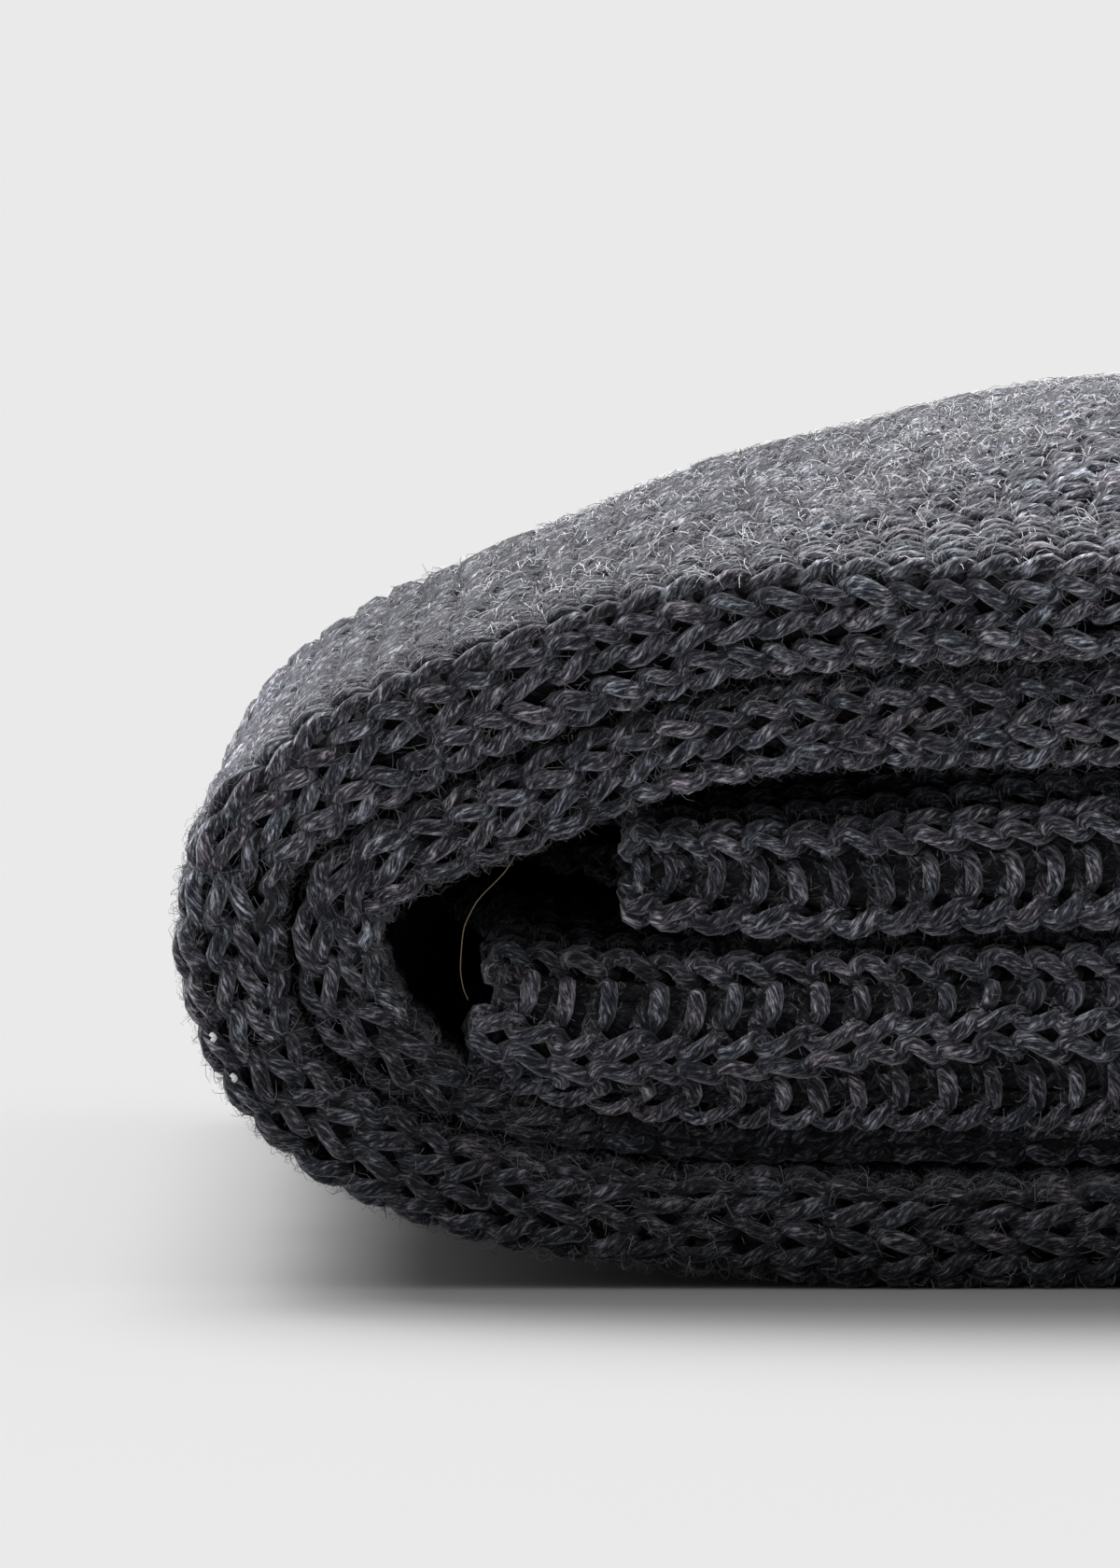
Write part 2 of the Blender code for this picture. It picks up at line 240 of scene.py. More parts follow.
EDGE_BAND = 5.0  # the side edges are dressed this far in
INNER_EDGE_BAND = 4.5
LIP_BAND = 1.8
CLOSE_FROM = 180.0  # s from which the close view shows plain knitting
OUTER_CLOSE = 7.5
OUTER_TOP_FROM = 262.0
OUTER_DRESSED_FROM = 255.0
OUTER_LEG = (94.0, 150.0)  # s of the leg's part that shows beyond the toes
TUCK = 2.0  # the ribs go on this far inside the cuff
TOE_GAP = 0.6
TOE_TIP = 8.0  # both faces are dressed this far from the toe's end
INNER_TOE = 34.0  # the inner toe shows beyond the outer one
INNER_CLOSE = (6.0, 13.0)  # how far in on the outer face, and on the inner face past the turn
INNER_TURN = 245.0
OUTER_RIBS_CLOSE = (20.0, 6.5)  # how far in on the upper and lower face of each cuff
INNER_RIBS_CLOSE = (22.0, 8.0)

# The cloth's rings in the middle of each sock, closer together in the folds: (s from, to, how many)
CLOTH_RINGS = ((112, 140, 18), (146, 244, 16), (247, 304, 40))
CUFF_RINGS = (110, 24)  # to, how many
FOOT_RINGS = (309, 14)  # from, how many
TIP_RINGS = (0.9, 0.012, 8)  # the toe's, in shares of the toe
CLOTH_SIDES = 56
CLOTH_STREAKS = 60.0  # of the yarn's pattern, round the cloth
EDGE_CROWDING = 0.85  # draws the cloth's sides together at the side edges

# Where the cloth itself lies in the solid's surface, since no stitches cover it
BARE_NEAR = 12.0  # from this far inside the near edge
BARE_FAR = 4.0
BARE_FADE = 4.0
BARE_SHARE = 0.9  # of the cloth's inset is lost there
TOE_COVERED = 36.0
LIP_COVERED = 4.0
OUTER_LEG_CLOTH = (90.0, 154.0)
OUTER_TOP_CLOTH = 248.0


def smooth(knots, values, at):
    """Values at the places given, on a smooth curve through the rows that never overshoots them."""
    knots = np.asarray(knots, float)
    values = np.asarray(values, float)
    gaps = np.diff(knots)
    slopes = np.diff(values) / gaps
    tangents = np.empty(len(knots))
    tangents[0] = slopes[0]
    tangents[-1] = slopes[-1]
    before, after = slopes[:-1], slopes[1:]
    same = before * after > 0
    mean = np.where(same, 2 * before * after / np.where(same, before + after, 1.0), 0.0)
    tangents[1:-1] = mean
    at = np.clip(np.asarray(at, float), knots[0], knots[-1])
    row = np.clip(np.searchsorted(knots, at, side="right") - 1, 0, len(gaps) - 1)
    share = (at - knots[row]) / gaps[row]
    low, high = values[row], values[row + 1]
    pull_low, pull_high = tangents[row] * gaps[row], tangents[row + 1] * gaps[row]
    return (
        low * (1 + 2 * share) * (1 - share) ** 2
        + pull_low * share * (1 - share) ** 2
        + high * share**2 * (3 - 2 * share)
        - pull_high * share**2 * (1 - share)
    )


def fullness(y):
    """0 at the side edges of the stack, 1 in the middle of its depth."""
    return np.clip(1 - np.abs(y / HALF_DEPTH) ** CROWN_POWER, 0, 1)


def hidden(y):
    """0 near the side edges of the stack, 1 where nothing shows from the side."""
    share = np.clip((HALF_DEPTH - HIDDEN_FROM - np.abs(y)) / HIDDEN_FADE, 0, 1)
    return share * share * (3 - 2 * share)


def unit(vectors):
    return vectors / np.maximum(np.linalg.norm(vectors, axis=-1, keepdims=True), 1e-12)


class Wander:
    """A smooth random field over two coordinates, between -1 and 1."""

    SIZE = 128

    def __init__(self):
        self.table = rng.uniform(-1, 1, (self.SIZE, self.SIZE))

    def __call__(self, a, b):
        a, b = np.broadcast_arrays(np.asarray(a, float), np.asarray(b, float))
        i, j = np.floor(a).astype(int), np.floor(b).astype(int)
        p, q = a - i, b - j
        p, q = p * p * (3 - 2 * p), q * q * (3 - 2 * q)
        size = self.SIZE
        i0, i1, j0, j1 = i % size, (i + 1) % size, j % size, (j + 1) % size
        low = self.table[i0, j0] * (1 - p) + self.table[i1, j0] * p
        high = self.table[i0, j1] * (1 - p) + self.table[i1, j1] * p
        return low * (1 - q) + high * q


class Sock:
    """The outside of one flattened, folded sock, by distance s along it and share u of the way round.

    u runs from the near edge over the outer face. At the cuff, s below half of the wall's thickness
    turns in over the lip."""

    def __init__(self, name, sections, wall, turns, sway, bulge, end):
        self.name = name
        self.wall = wall
        self.turns = turns
        self.sway = sway
        self.bulge = bulge
        self.end = end
        self.rows = {key: np.array(column) for key, column in zip(SECTION_COLUMNS, zip(*sections))}
        steps = np.hypot(np.diff(self.rows["x"]), np.diff(self.rows["z"]))
        self.knots = np.concatenate([[0.0], np.cumsum(steps)])
        self.length = self.knots[-1]
        self.fine = np.linspace(-12.0, self.length, 3000)
        pitch = np.interp(self.fine, *zip(*ROW_PITCH))
        counted = np.concatenate([[0.0], np.cumsum(np.diff(self.fine) / pitch[1:])])
        self.counted = counted - np.interp(0.0, self.fine, counted)
        self.along = Wander()
        self.round = Wander()
        self.plump = Wander()

    def column(self, name, s):
        return smooth(self.knots, self.rows[name], s)

    def section(self, s):
        """Half thickness and half width, with the toe's taper."""
        half = self.column("half", s)
        reach = self.column("reach", s)
        left = np.clip(self.length - s, 0.0, TOE_LENGTH) / TOE_LENGTH
        half = half * (1 - TOE_THINNING * (1 - left) ** 2)
        reach = reach * (1 - (1 - left) ** TOE_POWER) ** (1 / TOE_POWER)
        return half, np.maximum(reach, half + LEAST_FLAT)

    def around(self, s):
        half, reach = self.section(s)
        return 4 * (reach - half) + 2 * math.pi * half

    def point(self, s, u, inset=0.0):
        """Points in millimetres, at a depth under the surface."""
        s, u, inset = np.broadcast_arrays(*(np.asarray(value, float) for value in (s, u, inset)))
        lip = self.wall / 2
        turn = np.clip((lip - s) / lip, 0.0, math.pi)
        past = np.maximum(lip - math.pi * lip - s, 0.0)
        s = np.where(turn > 0, lip - (lip - inset) * np.sin(turn) + past, s)
        inset = inset + (lip - inset) * (1 - np.cos(turn))
        half, reach = self.section(s)
        flat = 2 * (reach - half)
        bend = math.pi * half
        walk = ((u + 0.25) % 1.0 - 0.25) * 2 * (flat + bend)
        kinds = [walk <= -bend / 2, walk < bend / 2, walk < bend / 2 + flat, walk < bend * 1.5 + flat]
        near_turn = walk / half
        far_turn = (walk - flat - bend / 2) / half
        zero = 0.0 * walk
        across = np.select(
            kinds,
            [-flat / 2 - walk - bend / 2, -flat / 2, -flat / 2 + walk - bend / 2, flat / 2],
            1.5 * (flat + bend) - walk,
        )
        turned = np.where(kinds[1], near_turn, math.pi / 2 - far_turn)
        powers = np.abs(np.cos(turned)) ** EDGE_SQUARE + np.abs(np.sin(turned)) ** EDGE_SQUARE
        fuller = powers ** (-1 / EDGE_SQUARE)
        sides = [zero, -np.cos(near_turn) * fuller, zero, np.sin(far_turn) * fuller]
        rises = [zero - 1, np.sin(near_turn) * fuller, zero + 1, np.cos(far_turn) * fuller]
        side = np.select(kinds, sides, 0.0)
        rise = np.select(kinds, rises, -1.0)
        thick = np.maximum(half - inset, 0.1 * half)
        y = across + side * thick
        full = fullness(y)
        deep = hidden(y)
        near_end = np.exp(-((s / END_LENGTH) ** 2))
        ending = deep * near_end
        longer, lower, thinner, raised = self.end
        out = rise * thick * (1 + self.column("swell", s) * full / half) * (1 - thinner * ending)
        out = out + np.clip(rise, 0, 1) * raised * full * near_end
        out = out - np.clip(-rise, 0, 1) * np.interp(s, *zip(*self.bulge)) * deep
        tx = self.column("x", s + NUDGE) - self.column("x", s - NUDGE)
        tz = self.column("z", s + NUDGE) - self.column("z", s - NUDGE)
        size = np.hypot(tx, tz)
        x = self.column("x", s) - tz / size * out
        z = self.column("z", s) + tx / size * out + self.column("lift", s) * full - lower * ending
        z = z * (1 + smooth(*zip(*CROWN), x) * full)
        x = x - longer * ending
        return np.stack([x, y, z], axis=-1)

    def cloth(self, s, u):
        """Points on the outside and the unit normals there."""
        step = 0.15
        share = step / self.around(np.maximum(s, 0.0))
        along = self.point(s + step, u) - self.point(s - step, u)
        across = self.point(s, u + share) - self.point(s, u - share)
        return self.point(s, u), unit(np.cross(along, across))

    def distance(self, row):
        return np.interp(row, self.counted, self.fine)

    def row(self, s):
        return np.interp(s, self.fine, self.counted)

    def share(self, column, s, ribbed):
        """Share of the way round of a column of stitches. Even columns of a rib are knit ones."""
        count = 2 * RIB_COUNT if ribbed else PLAIN_COUNT
        shift = np.interp(s, *zip(*self.turns))
        from_edge = (column + count / 2) % count - count / 2
        shift = shift + np.interp(s, *zip(*self.sway)) * np.exp(-((from_edge / SWAY_REACH) ** 2))
        return (column + shift) / count


OUTER = Sock("outer", OUTER_SECTIONS, 1.9, OUTER_TURNS, OUTER_SWAY, OUTER_BULGE, OUTER_END)
INNER = Sock("inner", INNER_SECTIONS, 2.5, INNER_TURNS, INNER_SWAY, INNER_BULGE, INNER_END)


# ---------------------------------------------------------------- materials


class Nodes:
    """Short ways to build a material's nodes."""

    def __init__(self, name):
        self.material = bpy.data.materials.new(name)
        self.material.use_nodes = True
        self.tree = self.material.node_tree
        self.shader = self.tree.nodes["Principled BSDF"]

    def add(self, kind, **values):
        node = self.tree.nodes.new(kind)
        for key, value in values.items():
            setattr(node, key, value)
        return node

    def join(self, source, target):
        self.tree.links.new(source, target)

    def fill(self, sockets, values):
        for socket, value in zip(sockets, values):
            if isinstance(value, (int, float)):
                socket.default_value = value
            elif isinstance(value, tuple):
                socket.default_value = (*value, 1.0)
            else:
                self.join(value, socket)

    def math(self, operation, first, second):
        node = self.add("ShaderNodeMath", operation=operation)
        self.fill(node.inputs, (first, second))
        return node.outputs[0]

    def vector(self, *parts):
        node = self.add("ShaderNodeCombineXYZ")
        self.fill(node.inputs, parts)
        return node.outputs[0]

    def noise(self, vector, detail, roughness=0.5):
        node = self.add("ShaderNodeTexNoise")
        node.inputs["Scale"].default_value = 1.0
        node.inputs["Detail"].default_value = detail
        node.inputs["Roughness"].default_value = roughness
        self.join(vector, node.inputs["Vector"])
        return node.outputs["Fac"]

    def ramp(self, value, stops):
        node = self.add("ShaderNodeValToRGB")
        band = node.color_ramp
        while len(band.elements) < len(stops):
            band.elements.new(0.5)
        for element, (place, colour) in zip(band.elements, stops):
            element.position = place
            element.color = (*colour, 1.0)
        self.join(value, node.inputs[0])
        return node.outputs[0]

    def multiply(self, first, second):
        node = self.add("ShaderNodeMix", data_type="RGBA", blend_type="MULTIPLY")
        node.inputs[0].default_value = 1.0
        self.fill(node.inputs[6:8], (first, second))
        return node.outputs[2]


TWIST = 0.24  # turns of the yarn for each millimetre
TONE_DEPTH = 60.0  # sets the pattern of one stitch apart from another's
STREAKS = (
    # waves round the yarn, waves for each millimetre along it, detail
    (9.0, 1.5, 3.0),
    (22.0, 3.2, 2.0),
)
SHEEN_ROUGH = 0.35


def wool(name, shades, sheen, relief_height):
    """Heathered yarn: twisted fibres of several shades, with the streaks along it, darkened by each
    point's painted shade.
    """
    nodes = Nodes(name)
    uv = nodes.add("ShaderNodeSeparateXYZ")
    nodes.join(nodes.add("ShaderNodeUVMap", uv_map="yarn").outputs[0], uv.inputs[0])
    tone = nodes.add("ShaderNodeAttribute", attribute_name="tone").outputs["Fac"]
    around, along = uv.outputs[0], uv.outputs[1]
    twist = nodes.math("ADD", around, nodes.math("MULTIPLY", along, TWIST))
    depth = nodes.math("MULTIPLY", tone, TONE_DEPTH)
    streaks = []
    for turns, waves, detail in STREAKS:
        across = nodes.math("MULTIPLY", twist, turns)
        place = nodes.vector(across, nodes.math("MULTIPLY", along, waves), depth)
        streaks.append(nodes.noise(place, detail, 0.6))
    strands, fibres = streaks
    value = nodes.math("ADD", nodes.math("MULTIPLY", strands, 0.5), nodes.math("MULTIPLY", fibres, 0.5))
    value = nodes.math("ADD", value, nodes.math("MULTIPLY", nodes.math("SUBTRACT", tone, 0.5), 0.05))
    colour = nodes.ramp(value, shades)
    patch = nodes.noise(nodes.vector(nodes.math("MULTIPLY", along, 0.4), depth, 3.0), 1.0)
    tint = nodes.ramp(patch, ((0.35, (0.90, 0.98, 1.08)), (0.65, (1.10, 0.97, 1.05))))
    shader = nodes.shader
    # painted light: the base colour and the sheen are multiplied by each point's painted shade
    painted_light = nodes.add("ShaderNodeAttribute", attribute_name="painted_light").outputs["Fac"]
    nodes.join(nodes.multiply(nodes.multiply(colour, tint), painted_light), shader.inputs["Base Color"])
    shader.inputs["Roughness"].default_value = 0.85
    shader.inputs["Specular IOR Level"].default_value = 0.25
    nodes.join(nodes.math("MULTIPLY", painted_light, sheen), shader.inputs["Sheen Weight"])
    shader.inputs["Sheen Roughness"].default_value = SHEEN_ROUGH
    shader.inputs["Sheen Tint"].default_value = (0.86, 0.88, 0.95, 1.0)
    relief = nodes.add("ShaderNodeBump")
    relief.inputs["Strength"].default_value = 0.9
    relief.inputs["Distance"].default_value = relief_height * MM
    nodes.join(value, relief.inputs["Height"])
    nodes.join(relief.outputs[0], shader.inputs["Normal"])
    return nodes.material


def plain(name, colour, sheen=0.0):
    nodes = Nodes(name)
    nodes.shader.inputs["Base Color"].default_value = (*colour, 1.0)
    nodes.shader.inputs["Roughness"].default_value = 0.9
    nodes.shader.inputs["Specular IOR Level"].default_value = 0.2
    nodes.shader.inputs["Sheen Weight"].default_value = sheen
    return nodes.material


# The yarn's colour by the height of its pattern
SHADES = (
    (0.38, (0.006, 0.006, 0.008)),
    (0.47, (0.030, 0.031, 0.037)),
    (0.53, (0.090, 0.092, 0.106)),
    (0.59, (0.30, 0.303, 0.322)),
    (0.66, (0.66, 0.665, 0.68)),
)
# The cloth behind the loops is the yarn's wool painted far darker: painted shade in the holes between
# loops and on the hidden faces
BACKING_PAINTED_SHADES = (
    (0.40, (0.004, 0.004, 0.005)),
    (0.50, (0.014, 0.014, 0.017)),
    (0.60, (0.050, 0.051, 0.056)),
)
YARN = wool("heathered_yarn", SHADES, 0.5, 0.22)
BACKING = wool("cloth_behind_loops", BACKING_PAINTED_SHADES, 0.1, 0.3)
FIBRE = plain("loose_fibre", (0.54, 0.54, 0.565), 0.35)
GREY_FIBRE = plain("grey_fibre", (0.20, 0.20, 0.215), 0.2)
HAIR_FIBRE = plain("stray_hair", (0.24, 0.19, 0.135))
LINT_FIBRE = plain("lint", (0.85, 0.85, 0.85))
DARK_FIBRE = plain("dark_fibre", (0.06, 0.06, 0.068))


# ---------------------------------------------------------------- meshes from arrays


def link(name, data, material):
    data.shade_smooth()
    data.materials.append(material)
    piece = bpy.data.objects.new(name, data)
    bpy.context.scene.collection.objects.link(piece)
    return piece


def add_mesh(name, points, quads, uvs, tones, material, painted_light=None):
    """A smooth mesh of quads. uvs has a pair for each corner, tones and the painted light a value for each
    point.
    """
    data = bpy.data.meshes.new(name)
    data.vertices.add(len(points))
    data.vertices.foreach_set("co", (points * MM).astype(np.float32).ravel())
    data.loops.add(quads.size)
    data.loops.foreach_set("vertex_index", quads.astype(np.int32).ravel())
    data.polygons.add(len(quads))
    data.polygons.foreach_set("loop_start", np.arange(0, quads.size, 4, dtype=np.int32))
    data.polygons.foreach_set("loop_total", np.full(len(quads), 4, np.int32))
    data.update(calc_edges=True)
    layer = data.uv_layers.new(name="yarn")
    layer.data.foreach_set("uv", uvs.astype(np.float32).ravel())
    tone = data.attributes.new("tone", "FLOAT", "POINT")
    tone.data.foreach_set("value", tones.astype(np.float32).ravel())
    if painted_light is not None:
        shown = data.attributes.new("painted_light", "FLOAT", "POINT")
        shown.data.foreach_set("value", painted_light.astype(np.float32).ravel())
    return link(name, data, material)


def tubes(centres, normals, wide, thick, sides, starts):
    """Yarn along each path: points, quads and uvs (share of the way round, millimetres along).

    centres and normals are (paths, points, 3), wide and thick (paths, points), starts (paths,)."""
    paths, count, _ = centres.shape
    ahead = unit(np.gradient(centres, axis=1))
    side = unit(np.cross(normals, ahead))
    up = np.cross(ahead, side)
    angle = 2 * math.pi * np.arange(sides) / sides
    ring = side[:, :, None, :] * (np.cos(angle)[None, None, :, None] * wide[:, :, None, None])
    ring = ring + up[:, :, None, :] * (np.sin(angle)[None, None, :, None] * thick[:, :, None, None])
    points = (centres[:, :, None, :] + ring).reshape(-1, 3)
    base = np.arange(paths)[:, None, None] * (count * sides)
    i = np.arange(count - 1)[None, :, None]
    k = np.arange(sides)[None, None, :]
    after = (k + 1) % sides
    steps = ((0, k), (0, after), (1, after), (1, k))
    corners = [base + (i + further) * sides + at for further, at in steps]
    quads = np.stack(corners, axis=-1).reshape(-1, 4)
    gaps = np.linalg.norm(np.diff(centres, axis=1), axis=2)
    length = np.concatenate([np.zeros((paths, 1)), np.cumsum(gaps, axis=1)], axis=1) + starts[:, None]
    shape = (paths, count - 1, sides)
    u0, u1 = np.broadcast_to(k / sides, shape), np.broadcast_to((k + 1) / sides, shape)
    v0, v1 = np.broadcast_to(length[:, :-1, None], shape), np.broadcast_to(length[:, 1:, None], shape)
    uvs = np.stack([np.stack(pair, -1) for pair in ((u0, v0), (u1, v0), (u1, v1), (u0, v1))], axis=-2)
    return points, quads, uvs.reshape(-1, 2)


def stitch_paths(sock, rows, columns, ribbed, t, stray=1.0):
    """Paths of the yarn through the stitches, the cloth's normals, the yarn's size and its painted light.
    """
    rows = rows[:, None].astype(float)
    columns = columns[:, None].astype(float)
    t = t[None, :]
    purl = (np.round(columns) % 2 == 1) & ribbed
    swing = np.where(purl, np.sign(np.cos(t)) * np.abs(np.cos(t)) ** PURL_FLAT, np.cos(t))
    column = columns + t / (2 * math.pi) - 0.5 + np.where(purl, PURL_LEAN, LEAN) * np.sin(2 * t)
    row = rows + 0.5 + LOOP_REACH * swing * (-1 if ribbed else 1)
    column = column + STRAY_ACROSS * stray * sock.round(column * 0.9, row * 0.8)
    row = row + STRAY_ALONG * stray * sock.along(column * 0.8 + 40, row * 0.7)
    s = sock.distance(row)
    u = sock.share(column, s, ribbed)
    places, normals = sock.cloth(s, u)
    on_sock = np.maximum(s, 0)
    half, _ = sock.section(on_sock)
    half = half + sock.column("swell", s) * fullness(places[..., 1])
    front = -np.cos(2 * t)
    level = 0.0
    if ribbed:
        knit = np.where(purl, -1.0, 1.0)
        front = knit * (front + ((1 + np.cos(t)) / 2) ** 2)
        level = -PURL_DROP * (0.5 - 0.5 * np.cos(math.pi * column))
    thick = np.minimum(YARN_THICK, 0.7 * half)
    out = PROUD + level + LOOP_DEPTH * (front - 1) - thick
    out = out + STRAY_OUT * stray * sock.plump(column * 0.6, row * 0.6)
    lowest = np.where(s < sock.wall / 2, 0.8 * sock.wall / 2, np.minimum(DEEPEST, DEEPEST_SHARE * half))
    out = np.maximum(out, -lowest)
    size = np.clip(sock.around(on_sock) / FULL_ROUND, 0.3, 1.0) * thick / YARN_THICK
    # painted shade: yarn that dips behind other loops is painted darker
    shown = np.clip((front + level / PURL_DROP * 0.3 + 1) / 1.5, 0, 1)
    painted_light = LEAST_LIT + (1 - LEAST_LIT) * shown**FRONT_POWER
    # painted shade on the lowest plain stitches, fading out upward
    if not ribbed:
        painted_light = painted_light * (1 - UNDER_SHADE * np.clip(1 - places[..., 2] / UNDER_HEIGHT, 0, 1))
    # painted shade on the upward faces of the top, mostly toward the left bend
    upward = np.clip(normals[..., 2] - 0.25, 0, 1)
    painted_light = painted_light * (1 - np.interp(places[..., 0], *zip(*TOP_SHADES)) * upward)
    centres = places + normals * out[..., None]
    centres[..., 2] = np.maximum(centres[..., 2], YARN_THICK)
    return centres, normals, size, painted_light


def knit(name, sock, cells, ribbed, detail, stray=1.0):
    """Knitting with whole loops."""
    rows, columns = cells
    count, sides = detail
    t = np.linspace(0, 2 * math.pi, count)
    centres, normals, size, painted_light = stitch_paths(sock, rows, columns, ribbed, t, stray)
    plumper = sock.plump(columns[:, None] * 1.3 + t / 3, rows[:, None] * 1.3 + 20)
    size = size * (1 + YARN_VARIES * plumper)
    size = size * rng.normal(1.0, STITCH_VARIES, (len(rows), 1))
    starts = rng.uniform(0, PATTERN_LENGTH, len(rows))
    shape = tubes(centres, normals, YARN_WIDE * size, YARN_THICK * size, sides, starts)
    tones = np.repeat(rng.uniform(0, 1, len(rows)), count * sides)
    return add_mesh(name, *shape, tones, YARN, np.repeat(painted_light.ravel(), sides))


def knit_legs(name, sock, cells):
    """Stocking stitch with only the legs that show, for what lies out of the close view."""
    rows, columns = cells
    sides = LEG_SIDES
    points, quads, uvs, painted_light = [], [], [], []
    for leg in (0.5, 1.5):
        t = math.pi * (leg + np.linspace(-LEG_SPAN, LEG_SPAN, LEG_POINTS))
        centres, normals, size, leg_painted_light = stitch_paths(sock, rows, columns, False, t)
        size = size * LEG_SIZES
        starts = rng.uniform(0, PATTERN_LENGTH, len(rows))
        part = tubes(centres, normals, YARN_WIDE * size, YARN_THICK * size, sides, starts)
        quads.append(part[1] + sum(len(group) for group in points))
        points.append(part[0])
        uvs.append(part[2])
        painted_light.append(np.repeat(leg_painted_light.ravel(), sides))
    tone = np.repeat(rng.uniform(0, 1, len(rows)), LEG_POINTS * sides)
    arrays = (np.concatenate(group) for group in (points, quads, uvs, (tone, tone)))
    return add_mesh(name, *arrays, YARN, np.concatenate(painted_light))


def shell(name, sock):
    """The cloth behind the loops, painted dark for shade: a thin closed tube, open at the cuff and shut at
    the toe.
    """
    stretches = [
        np.linspace(sock.wall / 2, *CUFF_RINGS),
        *(np.linspace(*rings) for rings in CLOTH_RINGS),
        np.linspace(FOOT_RINGS[0], sock.length - TOE_LENGTH, FOOT_RINGS[1]),
        sock.length - TOE_LENGTH * np.linspace(*TIP_RINGS),
    ]
    s = np.concatenate(stretches)
    u = np.linspace(0, 1, CLOTH_SIDES, endpoint=False)
    u = u - np.sin(4 * math.pi * u) / (4 * math.pi) * EDGE_CROWDING
    half, _ = sock.section(s)
    near = np.minimum(u, 1 - u)[None, :] * sock.around(s)[:, None]
    far = np.abs(u - 0.5)[None, :] * sock.around(s)[:, None]
    middle = (s > sock.wall / 2 + LIP_COVERED) & (s < sock.length - TOE_COVERED)
    bare = np.clip(np.minimum(near - BARE_NEAR, far - BARE_FAR) / BARE_FADE, 0, 1) * middle[:, None]
    if sock is OUTER:
        dressed = (s > OUTER_TOP_CLOTH) | ((s > OUTER_LEG_CLOTH[0]) & (s < OUTER_LEG_CLOTH[1]))
        bare = bare * ~(dressed[:, None] & (u < 0.5)[None, :])
    depths = [np.minimum(inset, most * half)[:, None] for inset, most in zip(CLOTH_INSETS, CLOTH_SHARES)]
    depths[0] = depths[0] * (1 - BARE_SHARE * bare)
    outside, inside = (sock.point(s[:, None], u[None, :], depth) for depth in depths)
    rings = np.concatenate([inside[::-1], outside])
    count, around, _ = rings.shape
    tips = np.stack([rings[0].mean(axis=0), rings[-1].mean(axis=0)])
    points = np.concatenate([rings.reshape(-1, 3), tips])
    i = np.arange(count - 1)[:, None] * around
    k = np.arange(around)[None, :]
    after = (k + 1) % around
    corners = [i + k, i + after, i + around + after, i + around + k]
    faces = np.stack(corners, axis=-1).reshape(-1, 4).tolist()
    first, last = len(points) - 2, len(points) - 1
    end = (count - 1) * around
    for a, b in zip(k[0].tolist(), after[0].tolist()):
        faces.append((a, first, b))
        faces.append((end + b, last, end + a))
    data = bpy.data.meshes.new(name)
    data.from_pydata((points * MM).tolist(), [], faces)
    data.update()
    around_at = np.append(np.tile(u * CLOTH_STREAKS, count), [0.0, 0.0])
    along_at = np.append(np.repeat(np.concatenate([s[::-1], s]), around), [0.0, 0.0])
    used = np.empty(len(data.loops), np.int32)
    data.loops.foreach_get("vertex_index", used)
    uvs = np.stack([around_at[used], along_at[used]], axis=-1)
    layer = data.uv_layers.new(name="yarn")
    layer.data.foreach_set("uv", uvs.astype(np.float32).ravel())
    for key, value in (("tone", 0.5), ("painted_light", 1.0)):
        layer = data.attributes.new(key, "FLOAT", "POINT")
        layer.data.foreach_set("value", np.full(len(points), value, np.float32))
    return link(name, data, BACKING)


FIBRE_POINTS = 4
FIBRE_START = (-0.55, -0.1)  # under the surface
FIBRE_BOW = (0.55, 0.95)  # how far a fibre has come over its arch at its end
FIBRE_CURL = 0.30


def fuzz(name, sock, places, reach, lift, width, material):
    """Loose fibres that rise out of the cloth, bend over and curl."""
    s, u = places
    places, normals = sock.cloth(s, u)
    along = unit(sock.point(s + 0.3, u) - places)
    across = np.cross(normals, along)
    count = len(s)
    heading = rng.uniform(0, 2 * math.pi, count)[:, None]
    ahead = along * np.cos(heading) + across * np.sin(heading)
    beside = np.cross(normals, ahead)
    span = rng.uniform(*reach, count)[:, None, None]
    rise = (rng.uniform(0, 1, count) ** 2 * (lift[1] - lift[0]) + lift[0])[:, None, None]
    curl = rng.normal(0, FIBRE_CURL, count)[:, None, None] * span
    start = rng.uniform(*FIBRE_START, count)[:, None, None]
    k = np.linspace(0, 1, FIBRE_POINTS)[None, :, None]
    bow = rng.uniform(*FIBRE_BOW, count)[:, None, None]
    line = places[:, None, :] + ahead[:, None, :] * span * k
    line = line + normals[:, None, :] * (start + (rise - start) * np.sin(math.pi * k * bow))
    line = line + beside[:, None, :] * curl * np.sin(2.6 * k + heading[:, :, None]) * k
    forward = unit(np.gradient(line, axis=1))
    roll = rng.uniform(0, math.pi, count)[:, None, None]
    flat = normals[:, None, :] * np.cos(roll) + beside[:, None, :] * np.sin(roll)
    flat = unit(flat - forward * np.sum(flat * forward, axis=-1, keepdims=True))
    half = width / 2 * (1 - 0.6 * k)
    points = np.stack([line - flat * half, line + flat * half], axis=2).reshape(-1, 3)
    corners = 2 * FIBRE_POINTS
    i = np.arange(FIBRE_POINTS - 1)[None, :] * 2 + np.arange(count)[:, None] * corners
    quads = np.stack([i, i + 1, i + 3, i + 2], axis=-1).reshape(-1, 4)
    tones = np.repeat(rng.uniform(0, 1, count), corners)
    return add_mesh(name, points, quads, np.zeros((quads.size, 2)), tones, material)


# ---------------------------------------------------------------- the stitches of each sock


